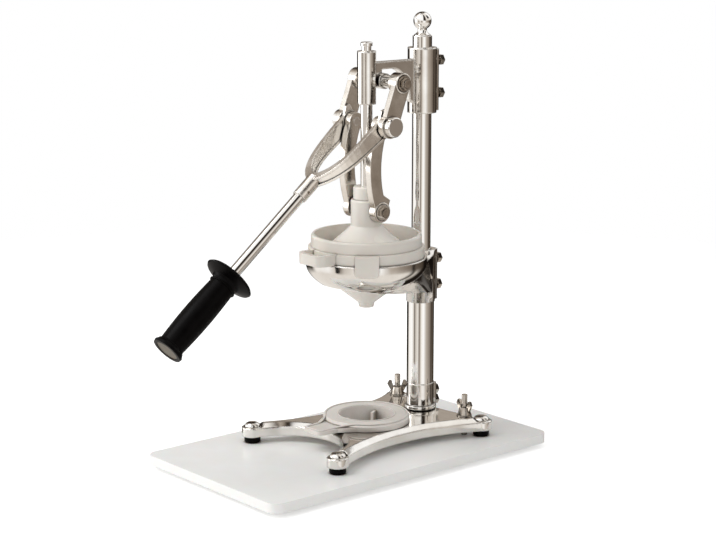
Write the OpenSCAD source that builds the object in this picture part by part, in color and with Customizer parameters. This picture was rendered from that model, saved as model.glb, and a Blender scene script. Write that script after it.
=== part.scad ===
// Lever citrus juice press on a white board.
// Z is up and the floor is Z = 0. The lever points to -Y and the column stands at +Y.
// All pieces are drawn about the ram axis, then moved by ram_y so that the
// object's box is centred on the origin.

/* [Board] */
// Width of the board, across the press
board_w = 214; // [190:1:240]
// Depth of the board, along the lever
board_d = 366; // [350:1:400]
// Thickness of the board
board_t = 10; // [8:0.5:14]
// Radius of the board's corners
board_corner_r = 12; // [6:1:20]
// From the ram axis to the board's front edge
board_front = 204; // [190:1:215]
// Radius of the board's rubber feet
board_foot_r = 10; // [8:0.5:12]
// Height of the board's rubber feet
board_foot_h = 5; // [4.5:0.5:8]
// From a board edge to the centre of a foot
board_foot_inset = 24; // [18:1:32]

/* [Base casting] */
// From the centre plane to a front leg's end
leg_front_x = 69; // [64:1:74]
// From the ram axis forward to a front leg's end
leg_front_y = 96; // [88:1:104]
// From the centre plane to a rear leg's end
leg_rear_x = 67; // [64:1:72]
// From the column axis back to a rear leg's end
leg_rear_y = 26; // [22:1:32]
// Radius of a leg's round end
leg_end_r = 11; // [10.5:0.5:13]
// Height of the round caps on the legs' ends
leg_cap_h = 5.5; // [4:0.5:7]
// Half width of the casting at its waist
waist_x = 52; // [50:1:56]
// From the ram axis forward to the arch between the front legs
front_arch_y = 50; // [48:1:56]
// From the column axis back to the arch between the rear legs
rear_arch_y = 19; // [18.5:0.5:22]
// Full height of the casting's plate
casting_h = 13; // [11:0.5:16]
// Height of the plate's upright edge, below its bevel
casting_edge_h = 9; // [7:0.5:10]
// Width of the bevel round the plate
casting_bevel_w = 6.5; // [4:0.5:7]
// Radius of the casting's rubber feet
base_foot_r = 8.5; // [7:0.5:10]
// Height of the casting's rubber feet
base_foot_h = 7; // [6:0.5:9]
// Radius of the column socket
socket_r = 14.3; // [13.5:0.1:15]
// Height of the column socket above the plate
socket_h = 29; // [28:0.5:36]

/* [Column] */
// Radius of the column tube
column_r = 10; // [9:0.1:10.5]
// Wall of the column tube
column_wall = 2; // [1.5:0.1:3]
// Length of the column tube
column_len = 405.2; // [395:0.1:430]
// From the ram axis back to the column axis
column_y = 75; // [73:0.5:80]
// Radius of the ball on top of the column
ball_r = 9.3; // [8:0.1:11]

/* [Top bracket] */
// Outer radius of both column clamps
clamp_r = 15; // [14.5:0.1:16]
// Height of the top clamp
top_clamp_h = 66.8; // [60:0.1:72]
// From the column's top down to the top clamp
top_clamp_drop = 11.7; // [8:0.1:16]
// Outer radius of the ram's guide sleeve
sleeve_r = 9.5; // [9:0.1:10]
// Length of the guide sleeve
sleeve_len = 53.2; // [50:0.1:56]
// Thickness of the arm between sleeve and clamp
arm_t = 8; // [6:0.5:10]
// Depth of the arm
arm_h = 8; // [7:0.5:10]
// From the ram axis back to the lever's pivot
pivot_y = 17; // [16.5:0.1:18]
// From the top clamp's top down to the lever's pivot
pivot_drop = 29.7; // [28:0.1:31]

/* [Linkage] */
// Radius of the pivot axle and of the link pins
pin_r = 4; // [3.5:0.1:4.3]
// Running clearance of a pin in its hole, on the radius
pin_gap = 0.05; // [0.02:0.01:0.08]
// From the lever's pivot to the knee
crank_r = 44.9; // [42:0.1:48]
// Crank angle from straight down at rest
crank_angle = 20.85; // [18:0.05:24]
// Length of a lower link between its pin centres
link_len = 87.7; // [84:0.1:92]
// Width of a lower link
link_w = 14; // [12:0.5:15]
// Bow of a lower link to the front
link_bow = 9; // [7:0.5:11]
// Thickness of a lower link
link_t = 8; // [7:0.1:9]
// Thickness of an upper link
crank_t = 6.5; // [5.5:0.1:7.5]
// Width of an upper link
crank_w = 19; // [16:0.5:20]
// Radius of the links' round ends
link_end_r = 10.5; // [10:0.1:11]

/* [Lever] */
// From the knee to the yoke's hub
yoke_len = 88; // [84:0.5:94]
// Angle of the yoke below the horizontal
yoke_angle = 36.1; // [34:0.1:38]
// Thickness of a yoke arm
yoke_t = 5; // [4.5:0.1:5.5]
// Width of the rails along a yoke arm's edges
yoke_rail = 2.4; // [1.8:0.1:3]
// Depth of a yoke arm at the knee
yoke_knee_h = 20; // [18:0.5:22]
// Depth of a yoke arm at the hub
yoke_hub_h = 10; // [9:0.5:13]
// Angle of the handle below the horizontal
handle_angle = 38.7; // [37:0.1:40]
// Radius of the socket that holds the handle tube
handle_socket_r = 7.5; // [7:0.1:9]
// Length of that socket
handle_socket_len = 22; // [20:0.5:28]
// Radius of the handle tube
handle_r = 6; // [5:0.1:6.2]
// From the yoke's hub to the grip's guard
guard_at = 130; // [120:1:140]
// Radius of the grip's guard
guard_r = 26.5; // [23:0.5:29]
// Radius of the grip at its ends
grip_r = 13; // [12:0.1:14]
// Swell of the grip at its middle, on the radius
grip_swell = 1.4; // [0.5:0.1:2.5]
// Length of the grip with its guard and end flange
grip_len = 99; // [90:1:110]
// Radius of the grip's end flange
grip_end_r = 16.3; // [15:0.1:18]

/* [Ram and presser] */
// Radius of the ram rod
ram_r = 6; // [5.5:0.1:6.3]
// Running clearance of the ram in its bush, on the radius
ram_gap = 0.06; // [0.03:0.01:0.09]
// Wall of the guide bush
bush_wall = 1; // [0.8:0.1:1.5]
// Radius of the presser's hub
hub_r = 16; // [15:0.1:16.2]
// Largest radius of the presser
presser_r = 43; // [40:0.5:44]
// Wall of the presser's cone
presser_wall = 3; // [2.5:0.1:4]

/* [Cup and bowl] */
// Outer radius of the bowl's rim
bowl_r = 62; // [60.5:0.1:63]
// Wall of the bowl
bowl_wall = 4; // [3:0.1:4.5]
// Radius of the hole in the bowl's bottom
bowl_hole_r = 36; // [34:0.5:38]
// Depth of the bowl's round part
bowl_depth = 27; // [25:0.1:28]
// Height of the bowl's clamp on the column
bowl_clamp_h = 55.2; // [50:0.1:58]
// Height of the cup's rim above the bowl's rim
cup_rise = 23.3; // [22.5:0.1:26]
// Radius of the juice spout
spout_r = 7.5; // [6.5:0.1:8.5]

/* [Jug seat] */
// Outer radius of the jug seat
seat_r = 45; // [43:0.5:47]
// Radius of the hole through the jug seat
seat_bore_r = 28; // [26:0.1:30]
// Height of the seat above the casting
seat_h = 8; // [7:0.5:10]
// Half width of the tongue that the seat is lifted by
tongue_w = 14; // [11:0.5:15]

/* [Fasteners] */
// Radius of the set bolts and hold-down studs
bolt_r = 3; // [2.5:0.1:3.4]
// Width across the flats of the set bolts' heads
bolt_af = 10; // [9:0.5:11]
// Height of the set bolts' heads
bolt_head_h = 5; // [4:0.5:6]
// From the centre plane to a hold-down stud
stud_x = 53; // [50:0.5:56]
// From the column axis back to a hold-down stud
stud_y = 15; // [13:0.5:17]
// Half span of a wing nut
wing_span = 11; // [10:0.5:12.5]
// Height of a hold-down stud above the casting
stud_out = 23; // [20:0.5:26]

/* [Hidden] */
$fn = 72;
CHROME = "#c8cacd";
STEEL = "#b9bbbe";
WHITE = "#f2f1ee";
IVORY = "#e6e4de";
BLACK = "#1c1b1b";
ROUND = 14;          // steps along a curved outline
RUN = 0.3;           // gap between faces that slide past each other
SEAT = 0.1;          // gap round a piece that is pushed into another
E = 0.01;            // overshoot of a cut

// Heights, from the floor up
board_z0 = board_foot_h;
board_z1 = board_z0 + board_t;
cast_z0 = board_z1 + base_foot_h;
cast_z1 = cast_z0 + casting_h;
edge_z = cast_z0 + casting_edge_h;
socket_floor = 2;
column_z0 = cast_z0 + socket_floor;
column_z1 = column_z0 + column_len;
socket_z1 = cast_z1 + socket_h;

// Top bracket and linkage, worked out downwards from the column's top
clamp_z1 = column_z1 - top_clamp_drop;
clamp_z0 = clamp_z1 - top_clamp_h;
sleeve_z1 = clamp_z1 + 1;
sleeve_z0 = sleeve_z1 - sleeve_len;
pivot_z = clamp_z1 - pivot_drop;
knee_y = pivot_y - crank_r * sin(crank_angle);
knee_z = pivot_z - crank_r * cos(crank_angle);
link_tilt = asin(knee_y / link_len);
foot_z = knee_z - link_len * cos(link_tilt);   // the presser's cross pin

// Sideways stack of the linkage, from the ram outwards
link_x0 = hub_r + 0.5;
link_x1 = link_x0 + link_t;
yoke_x0 = link_x1 + 0.5;
crank_x0 = yoke_x0 + yoke_t;
crank_x1 = crank_x0 + crank_t;
pivot_boss_r = 8;
pivot_boss_x = 9;
spacer_r = 6.5;
washer_r = 8;
washer_t = 1.2;
nut_af = 10.5;
nut_t = 4;
knee_cap_r = 10;
knee_cap_t = 7.5;

// Presser, measured from its cross pin
hub_z1 = foot_z + link_end_r;
collar_r = 13.5;
collar_z1 = hub_z1 + 13.2;
cone_z = foot_z - 16;
presser_h = 25;
presser_z0 = cone_z - presser_h;
ram_z0 = foot_z - 11;
ram_z1 = sleeve_z1;

// Bowl and cup, measured down from the presser
strainer_gap = 7;
strainer_t = 2;
strainer_z = presser_z0 - strainer_gap - strainer_t;
rim_z = strainer_z + 2;
bowl_turn_z = rim_z - 7;
bowl_clamp_z1 = rim_z - 3;
cup_r = bowl_r - bowl_wall - 5;
bowl_turn = 75;
bowl_clamp_z0 = bowl_clamp_z1 - bowl_clamp_h;
cup_wall = 2.5;
cup_skin_r = bowl_r - bowl_wall - 3.5;
cup_rim_z = rim_z + cup_rise;
band_h = 11;
band_r = bowl_r - 2.5;
cup_drop = bowl_depth - 7;
funnel_z = bowl_turn_z - cup_drop * sin(bowl_turn);
funnel_r = bowl_hole_r + (cup_skin_r - bowl_hole_r) * pow(cos(bowl_turn), 2);
funnel_slope = 0.78;
spout_z1 = funnel_z - (funnel_r - spout_r - 1) * funnel_slope;
spout_z0 = spout_z1 - 4.5;

// Lever
hub_y = knee_y - yoke_len * cos(yoke_angle);
hub_z = knee_z - yoke_len * sin(yoke_angle);
grip_end = guard_at + grip_len;

// Fasteners
stud_yy = column_y + stud_y;
stud_gap = 0.3;
pad_w = 16;
pad_out = 1;
stud_top = cast_z1 + stud_out;
stud_head_r = 7;
stud_head_h = 2.5;
bolt_reach = 6;

// The object's box runs from the grip's end to the board's back edge
front_reach = grip_end * cos(handle_angle) + grip_end_r * sin(handle_angle) - hub_y;
board_back = board_d - board_front;
ram_y = (max(front_reach, board_front) - board_back) / 2;

// Moves a piece from the ram axis to its place in the object's box
module place() translate([0, ram_y, 0]) children();

// The piece and its mirror image on the other side of the press
module both_sides() {
    children();
    mirror([1, 0, 0]) children();
}

// Round bar along X from x0 to x1, its axis at y and z
module bar_x(r, x0, x1, y, z)
    translate([x0, y, z]) rotate([0, 90, 0]) cylinder(r = r, h = x1 - x0);

// Round bar along Y from y0 to y1 on the centre plane
module bar_y(r, y0, y1, z)
    translate([0, y0, z]) rotate([-90, 0, 0]) cylinder(r = r, h = y1 - y0);

// Ring along Z
module ring(r1, r0, z0, z1)
    difference() {
        translate([0, 0, z0]) cylinder(r = r1, h = z1 - z0);
        translate([0, 0, z0 - E]) cylinder(r = r0, h = z1 - z0 + 2 * E);
    }

// Flat plate in the YZ plane between x0 and x1, drawn in 2D with Y across and Z up
module plate_x(x0, x1)
    translate([x0, 0, 0]) rotate([90, 0, 90]) linear_extrude(x1 - x0) children();

// Hexagon prism along Z
module hex(af, h) cylinder(d = af / cos(30), h = h, $fn = 6);

// Everything along the lever's handle, with Z running from the hub to the grip
module along_handle()
    translate([0, hub_y, hub_z]) rotate([90 + handle_angle, 0, 0]) children();

// ---------------------------------------------------------------- board

module board_outline() {
    x = board_w / 2 - board_corner_r;
    y = board_d / 2 - board_corner_r;
    square([board_w, 2 * y], center = true);
    square([2 * x, board_d], center = true);
    for (sx = [-1, 1], sy = [-1, 1]) translate([sx * x, sy * y]) circle(r = board_corner_r);
}

module at_board_feet()
    for (sx = [-1, 1], y = [-board_front + board_foot_inset, board_back - board_foot_inset])
        translate([sx * (board_w / 2 - board_foot_inset), y, 0]) children();

screw_r = 2;
screw_head_r = 4;
screw_head_h = 2;
screw_len = 8;

module baseboard() place() color(WHITE) difference() {
    translate([0, (board_back - board_front) / 2, board_z0]) linear_extrude(board_t) board_outline();
    at_board_feet() translate([0, 0, board_z0 - E]) cylinder(r = screw_r, h = screw_len - 3 + E);
    both_sides() translate([stud_x, stud_yy, board_z0 - E])
        cylinder(r = bolt_r + stud_gap, h = board_t + 2 * E);
}

module board_feet() place() color(BLACK) at_board_feet() difference() {
    union() {
        cylinder(r1 = board_foot_r - 1.5, r2 = board_foot_r, h = 1.5);
        translate([0, 0, 1.5]) cylinder(r = board_foot_r, h = board_z0 - 1.5);
    }
    translate([0, 0, -E]) cylinder(r = screw_head_r + SEAT, h = screw_head_h + 1 + E);
    cylinder(r = screw_r, h = board_z0 + E);
}

module board_foot_screws() place() color(STEEL) at_board_feet() {
    translate([0, 0, 1]) cylinder(r = screw_head_r, h = screw_head_h);
    translate([0, 0, 1]) cylinder(r = screw_r, h = board_z0 - 1 + screw_len - 3);
}

// ---------------------------------------------------------------- base casting

// Radius of an arc from its half chord and its height
function arc_r(half, rise) = (half * half + rise * rise) / (2 * rise);

leg_y = column_y + leg_rear_y;
side_x = (leg_front_x + leg_rear_x) / 2 + leg_end_r;
side_half = (leg_front_y + leg_y) / 2;
side_r = arc_r(side_half, side_x - waist_x);
front_r = arc_r(leg_front_x - leg_end_r, leg_front_y - front_arch_y);
rear_r = arc_r(leg_rear_x - leg_end_r, leg_rear_y - rear_arch_y);

// Four-sided outline of the plate, before its arches are cut
module plate_outline()
    polygon([[leg_front_x + leg_end_r, -leg_front_y], [leg_rear_x + leg_end_r, leg_y],
        [-leg_rear_x - leg_end_r, leg_y], [-leg_front_x - leg_end_r, -leg_front_y]]);

// The arches between the legs, from z0 up. They widen by the given spread
module arches(z0, h, spread) {
    for (s = [-1, 1]) translate([s * (waist_x + side_r), leg_y - side_half, z0])
        cylinder(r1 = side_r, r2 = side_r + spread, h = h, $fn = 180);
    translate([0, -front_arch_y - front_r, z0]) cylinder(r1 = front_r, r2 = front_r + spread, h = h);
    translate([0, column_y + rear_arch_y + rear_r, z0])
        cylinder(r1 = rear_r, r2 = rear_r + spread, h = h, $fn = 180);
}

// Bevelled plate on four legs
module casting_plate() {
    bevel_h = casting_h - casting_edge_h;
    difference() {
        translate([0, 0, cast_z0]) linear_extrude(casting_h) plate_outline();
        arches(cast_z0 - 1, casting_h + 2, 0);
        arches(edge_z, bevel_h, casting_bevel_w);
        at_leg_ends() translate([0, 0, edge_z]) cylinder(r = leg_end_r, h = bevel_h + 1);
    }
    at_leg_ends() translate([0, 0, cast_z0]) cylinder(r = leg_end_r, h = casting_edge_h);
    at_leg_ends() translate([0, 0, edge_z])
        cylinder(r1 = leg_end_r, r2 = leg_end_r - casting_bevel_w, h = bevel_h);
}

module at_leg_ends()
    for (s = [-1, 1]) {
        translate([s * leg_front_x, -leg_front_y, 0]) children();
        translate([s * leg_rear_x, column_y + leg_rear_y, 0]) children();
    }

// Pad behind a column clamp, which takes the set bolts
module clamp_pad(z0, z1)
    translate([-pad_w / 2, column_y, z0]) cube([pad_w, clamp_r + pad_out, z1 - z0]);

cap_r = 8.4;
cap_shank_r = 2.5;
seat_spigot_r = seat_bore_r + 3;
seat_gap = 0.4;
base_bolt_z = [cast_z1 + 6.5, cast_z1 + 17.5];

module base_casting() place() color(CHROME) difference() {
    union() {
        casting_plate();
        translate([0, column_y, cast_z0]) cylinder(r = socket_r, h = socket_z1 - cast_z0);
        translate([0, column_y, cast_z1 + 1]) cylinder(r = socket_r + 2, h = 3.7);
        clamp_pad(cast_z1 - 1, socket_z1 - 1.5);
    }
    translate([0, column_y, column_z0]) cylinder(r = column_r + SEAT, h = column_len);
    translate([0, 0, cast_z0 - E]) cylinder(r = seat_spigot_r + seat_gap, h = casting_h + 2 * E);
    both_sides() translate([stud_x, stud_yy, cast_z0 - E])
        cylinder(r = bolt_r + stud_gap, h = casting_h + 2 * E);
    at_leg_ends() {
        translate([0, 0, edge_z]) cylinder(r = cap_r + 0.4, h = casting_h);
        translate([0, 0, cast_z0 - E]) cylinder(r = cap_shank_r, h = casting_h);
    }
    for (z = base_bolt_z) bar_y(bolt_r, column_y + column_r, column_y + clamp_r + 3, z);
}

module base_feet() place() color(BLACK) at_leg_ends() difference() {
    union() {
        translate([0, 0, board_z1]) cylinder(r1 = base_foot_r - 1, r2 = base_foot_r, h = 1.5);
        translate([0, 0, board_z1 + 1.5]) cylinder(r = base_foot_r, h = base_foot_h - 1.5);
    }
    translate([0, 0, board_z1 + 2]) cylinder(r = cap_shank_r, h = base_foot_h);
}

module leg_cap_screws() place() color(CHROME) at_leg_ends() {
    translate([0, 0, board_z1 + 2]) cylinder(r = cap_shank_r, h = edge_z - board_z1 - 2 + E);
    translate([0, 0, edge_z]) rotate_extrude() polygon(concat([[0, 0]],
        [for (i = [0 : ROUND]) [cap_r * pow(cos(90 * i / ROUND), 0.7), leg_cap_h * sin(90 * i / ROUND)]]));
}

// Hexagon set bolt through a column clamp, from its tip on the column outwards
module set_bolt(z, head_y) {
    bar_y(bolt_r, column_y + column_r + SEAT, head_y + E, z);
    translate([0, head_y, z]) rotate([-90, 0, 0]) hex(bolt_af, bolt_head_h);
}

pad_face = column_y + clamp_r + pad_out;

module base_set_bolts() place() color(STEEL)
    for (z = base_bolt_z) set_bolt(z, pad_face + bolt_reach / 3);

module hold_down_studs() place() color(STEEL) both_sides() translate([stud_x, stud_yy, 0]) {
    translate([0, 0, board_z0]) rotate([180, 0, 0]) rotate_extrude() polygon(concat([[0, 0]],
        [for (i = [0 : ROUND]) [stud_head_r * cos(90 * i / ROUND), stud_head_h * sin(90 * i / ROUND)]]));
    translate([0, 0, board_z0 - E]) cylinder(r = bolt_r, h = stud_top - board_z0 + E);
}

module stud_washers() place() color(STEEL) both_sides() translate([stud_x, stud_yy, 0])
    ring(washer_r, bolt_r + SEAT, cast_z1, cast_z1 + washer_t);

// ---------------------------------------------------------------- column

module column_post() place() color(CHROME) translate([0, column_y, 0])
    ring(column_r, column_r - column_wall, column_z0, column_z1);

module column_spacer() place() color(CHROME) translate([0, column_y, 0])
    ring(socket_r, column_r + SEAT, socket_z1, bowl_clamp_z0);

ball_neck_r = 4.6;
ball_lift = ball_r + 6;
finial_plug = 14;

// Ball on a waisted neck, with a plug down into the column
module ball_finial() place() color(CHROME) translate([0, column_y, column_z1]) {
    translate([0, 0, ball_lift]) sphere(r = ball_r);
    rotate_extrude() polygon(concat([[0, 0]], [for (i = [0 : ROUND]) let (t = i / ROUND)
        [ball_neck_r + 3.9 * pow(1 - t, 3), 1.2 + t * (ball_lift - ball_r)]], [[0, ball_lift]]));
    cylinder(r = ball_neck_r + 3.9, h = 1.2);
    translate([0, 0, -finial_plug]) cylinder(r = column_r - column_wall, h = finial_plug + E);
}

// ---------------------------------------------------------------- top bracket

arm_z1 = clamp_z1 - 10.5;
arm_z0 = arm_z1 - arm_h;
clamp_front = column_y - clamp_r;

// Side view of the arm, its corner web and the block round the pivot
module arm_side() {
    web_y = clamp_front + 5;
    polygon(concat([[0, arm_z0], [0, arm_z1], [column_y, arm_z1 - 1], [column_y, arm_z0 - 40],
        [web_y, arm_z0 - 40]],
        [for (i = [0 : ROUND]) let (a = 90 * i / ROUND)
            [web_y - 10 - 24 * (1 - cos(a)), arm_z0 - 34 * (1 - sin(a))]]));
    translate([0, pivot_z - 5]) square([pivot_y, arm_z0 - pivot_z + 6]);
}

module top_bracket() place() color(CHROME) difference() {
    union() {
        translate([0, column_y, clamp_z0]) cylinder(r = clamp_r, h = top_clamp_h);
        clamp_pad(clamp_z0 + 1.5, clamp_z1 - 1.5);
        translate([0, 0, sleeve_z0]) cylinder(r = sleeve_r, h = sleeve_len);
        plate_x(-arm_t / 2, arm_t / 2) arm_side();
        bar_x(pivot_boss_r, -pivot_boss_x, pivot_boss_x, pivot_y, pivot_z);
    }
    translate([0, column_y, clamp_z0 - E]) cylinder(r = column_r + SEAT, h = top_clamp_h + 2 * E);
    translate([0, 0, sleeve_z0 - E]) cylinder(r = ram_r + bush_wall, h = sleeve_len + 2 * E);
    bar_x(pin_r, -pivot_boss_x - E, pivot_boss_x + E, pivot_y, pivot_z);
    for (z = top_bolt_z) bar_y(bolt_r, column_y + column_r, pad_face + 2, z);
}

top_bolt_z = [clamp_z0 + 18.6, clamp_z1 - 14.3];

module top_bracket_bolts() place() color(STEEL)
    for (z = top_bolt_z) set_bolt(z, pad_face + bolt_reach);

module guide_bush() place() color("#b08d57")
    ring(ram_r + bush_wall, ram_r + ram_gap, sleeve_z0, sleeve_z1);

axle_end = crank_x1 + RUN + washer_t + nut_t + 1;

module pivot_axle() place() color(STEEL)
    bar_x(pin_r, -axle_end, axle_end, pivot_y, pivot_z);

// Flat ring round a pin along X
module washer_x(r, hole, x0, x1, y, z)
    difference() {
        bar_x(r, x0, x1, y, z);
        bar_x(hole, x0 - E, x1 + E, y, z);
    }

module pivot_spacers() place() color(CHROME) both_sides()
    washer_x(spacer_r, pin_r, pivot_boss_x, yoke_x0 - RUN, pivot_y, pivot_z);

module pivot_washers() place() color(CHROME) both_sides()
    washer_x(washer_r, pin_r, crank_x1 + RUN, crank_x1 + RUN + washer_t, pivot_y, pivot_z);

// Hexagon nut on a pin along X
module nut_x(x0, y, z)
    difference() {
        translate([x0, y, z]) rotate([0, 90, 0]) hex(nut_af, nut_t);
        bar_x(pin_r, x0 - E, x0 + nut_t + E, y, z);
    }

module pivot_nuts() place() color(STEEL) both_sides()
    nut_x(crank_x1 + RUN + washer_t, pivot_y, pivot_z);

// ---------------------------------------------------------------- bowl bracket

// Radius of the bowl's curve at angle a, between a top radius and the bottom hole
function bowl_curve(top, a) = bowl_hole_r + (top - bowl_hole_r) * pow(cos(a), 2);

function bowl_points(top, drop, last) =
    [for (i = [0 : ROUND]) let (a = last * i / ROUND) [bowl_curve(top, a), bowl_turn_z - drop * sin(a)]];

function backwards(list) = [for (i = [len(list) - 1 : -1 : 0]) list[i]];

bowl_in_r = bowl_r - bowl_wall;
bowl_floor_t = 3.5;
bowl_z0 = bowl_turn_z - bowl_depth;
neck_z0 = bowl_clamp_z0 + 4;
neck_wall = 4;
bowl_tilt = 9;

// Solid that fills the bowl's inside, up past its rim
module bowl_inside()
    rotate_extrude() polygon(concat([[0, rim_z + 1], [bowl_in_r, rim_z + 1]],
        bowl_points(bowl_in_r, bowl_depth - bowl_floor_t, 90),
        [[bowl_hole_r, bowl_z0 - 1], [0, bowl_z0 - 1]]));

// Hood that carries the bowl from the column, before it is hollowed
module bowl_neck() hull() {
    translate([0, 0, bowl_z0]) cylinder(r = bowl_hole_r + 3, h = 1, $fn = 32);
    translate([0, 6, bowl_turn_z - 9]) cylinder(r = bowl_r - 7, h = 3, $fn = 32);
    translate([0, column_y, neck_z0]) cylinder(r = clamp_r - 0.4, h = bowl_turn_z - neck_z0, $fn = 32);
}

// Hollow under the bowl and its hood, open downwards
module bowl_throat() {
    y1 = column_y - clamp_r - 4;
    x1 = clamp_r - neck_wall;
    translate([0, 0, neck_z0 - 10]) linear_extrude(bowl_z0 + 1 - neck_z0 + 10) {
        circle(r = bowl_hole_r);
        polygon([[-bowl_hole_r + 1, 6], [-x1, y1], [x1, y1], [bowl_hole_r - 1, 6]]);
    }
}

module bowl_bracket() place() color(CHROME) difference() {
    union() {
        difference() {
            union() {
                rotate_extrude() polygon(concat([[bowl_in_r, rim_z], [bowl_r, rim_z]],
                    bowl_points(bowl_r, bowl_depth, 90),
                    backwards(bowl_points(bowl_in_r, bowl_depth - bowl_floor_t, 90))));
                difference() {
                    bowl_neck();
                    bowl_inside();
                }
            }
            translate([0, 0, bowl_z0]) rotate([-bowl_tilt, 0, 0]) translate([-bowl_r, -bowl_r, -40])
                cube([2 * bowl_r, bowl_r + column_y, 40]);
        }
        translate([0, column_y, bowl_clamp_z0]) cylinder(r = clamp_r, h = bowl_clamp_h);
        clamp_pad(bowl_clamp_z0 + 1, bowl_clamp_z1);
    }
    translate([0, column_y, bowl_clamp_z0 - E])
        cylinder(r = column_r + SEAT, h = bowl_clamp_h + 10);
    bowl_throat();
    for (z = bowl_bolt_z) bar_y(bolt_r, column_y + column_r, pad_face + 2, z);
}

bowl_bolt_z = [bowl_clamp_z0 + 15, bowl_clamp_z1 - 12];

module bowl_bracket_bolts() place() color(STEEL)
    for (z = bowl_bolt_z) set_bolt(z, pad_face + bolt_reach * 0.8);

// ---------------------------------------------------------------- cup and strainer

cup_spout_bore = spout_r - 2;
loop_w = 19;
loop_out = 15;
loop_t = 4.5;
loop_corner = 9;
tab_w = 24;
tab_t = 2.4;
tab_drop = 10;
tab_at = [-40, 140];
ledge_w = 2.5;

// Flat U of the cup's handle, drawn in by the given inset
module loop_outline(inset) {
    y1 = -bowl_r - loop_out + inset;
    x = loop_w - inset;
    c = loop_corner - inset;
    translate([-x, y1 + c]) square([2 * x, bowl_r]);
    translate([-x + c, y1]) square([2 * (x - c), bowl_r]);
    for (s = [-1, 1]) translate([s * (x - c), y1 + c]) circle(r = c);
}

module cup_tab(a) rotate([0, 0, a]) translate([bowl_r + 0.4, 0, rim_z - tab_drop]) {
    translate([0, -tab_w / 2, 5]) cube([tab_t, tab_w, tab_drop + band_h - 5]);
    translate([0, -tab_w / 2 + 5, 0]) cube([tab_t, tab_w - 10, 6]);
    for (s = [-1, 1]) translate([0, s * (tab_w / 2 - 5), 5]) rotate([0, 90, 0]) cylinder(r = 5, h = tab_t);
    translate([-5, -tab_w / 2, tab_drop + 0.4]) cube([6, tab_w, band_h - 0.4]);
}

module juice_cup() place() color(WHITE) difference() {
    union() {
        rotate_extrude() polygon(concat(
            [[0, cup_rim_z], [cup_r + 2.2, cup_rim_z], [cup_r + 3.5, cup_rim_z - 2],
             [cup_r + 3.5, rim_z + band_h], [band_r, rim_z + band_h - 0.8], [band_r, rim_z],
             [cup_skin_r, rim_z]],
            bowl_points(cup_skin_r, cup_drop, bowl_turn),
            [[spout_r + 1, spout_z1], [spout_r, spout_z0], [0, spout_z0]]));
        translate([0, 0, rim_z]) linear_extrude(band_h) difference() {
            loop_outline(0);
            loop_outline(loop_t);
            circle(r = cup_r);
        }
        for (a = tab_at) cup_tab(a);
    }
    rotate_extrude() polygon(concat(
        [[0, cup_rim_z + 1], [cup_r, cup_rim_z + 1], [cup_r, strainer_z],
         [cup_r - ledge_w, strainer_z], [cup_r - ledge_w, bowl_turn_z + 1.5]],
        [for (p = bowl_points(cup_skin_r - cup_wall, cup_drop, bowl_turn)) [p[0], p[1] + 1.5]],
        [[cup_spout_bore, spout_z1 + 2], [cup_spout_bore, spout_z0 - 1], [0, spout_z0 - 1]]));
}

strainer_r = cup_r - 0.3;
dome_r = presser_r - 8;
dome_h = presser_h + strainer_gap - 8.5;

// Cone with a soft shoulder, from its foot radius up to its top
function dome_points(foot, rise) =
    [for (i = [0 : ROUND]) let (t = i / ROUND) [foot * pow(1 - t, 0.8), rise * pow(t, 1.05)]];

module strainer() place() color(IVORY) translate([0, 0, strainer_z]) difference() {
    rotate_extrude() polygon(concat([[0, 0], [strainer_r, 0], [strainer_r, strainer_t]],
        [for (p = dome_points(dome_r, dome_h)) [p[0], strainer_t + p[1]]]));
    translate([0, 0, -E]) rotate_extrude() polygon(concat([[0, 0]],
        dome_points(dome_r - 2.5, dome_h - 1)));
    for (a = [0 : 15 : 345]) rotate([0, 0, a]) translate([(strainer_r - ledge_w + dome_r) / 2, 0, -1])
        cylinder(r = 1.6, h = strainer_t + 4);
}

// ---------------------------------------------------------------- lever

// Point of a cubic Bezier curve
function bezier(p, t) = pow(1 - t, 3) * p[0] + 3 * pow(1 - t, 2) * t * p[1]
    + 3 * (1 - t) * t * t * p[2] + pow(t, 3) * p[3];

// Centre line of a yoke arm: X across the press, Y from the knee towards the hub
yoke_mid_x = yoke_x0 + yoke_t / 2;
yoke_path = [[yoke_mid_x, 0], [yoke_mid_x, yoke_len * 0.45], [yoke_mid_x, yoke_len * 0.8],
    [4, yoke_len * 0.97]];

// Plan of one arm, which thickens from the knee towards the hub
module yoke_arm_plan(half) {
    outer = [for (i = [0 : ROUND]) bezier(yoke_path, i / ROUND) + [half, i / ROUND * half * 1.6]];
    inner = [for (i = [0 : ROUND]) bezier(yoke_path, i / ROUND) - [half, i / ROUND * half * 1.6]];
    polygon(concat(outer, [[-1, yoke_len + 4], [-1, yoke_len - 8]], backwards(inner)));
}

// Both arms as an upright sheet, on the yoke's own slope
module yoke_arms(half)
    translate([0, 0, -yoke_knee_h]) linear_extrude(2 * yoke_knee_h) mirror([0, 1, 0]) {
        yoke_arm_plan(half);
        mirror([1, 0, 0]) yoke_arm_plan(half);
    }

// Side view of the yoke, with X from the knee towards the hub, drawn in by the given inset
module yoke_side(inset)
    translate([-crank_x0 - 1, 0, 0]) rotate([90, 0, 90]) linear_extrude(2 * crank_x0 + 2)
        mirror([1, 0, 0]) polygon([[-1 - inset, inset - yoke_knee_h / 2],
            [yoke_len + 5 + inset, inset - yoke_hub_h / 2],
            [yoke_len + 5 + inset, yoke_hub_h / 2 - inset], [-1 - inset, yoke_knee_h / 2 - inset]]);

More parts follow.
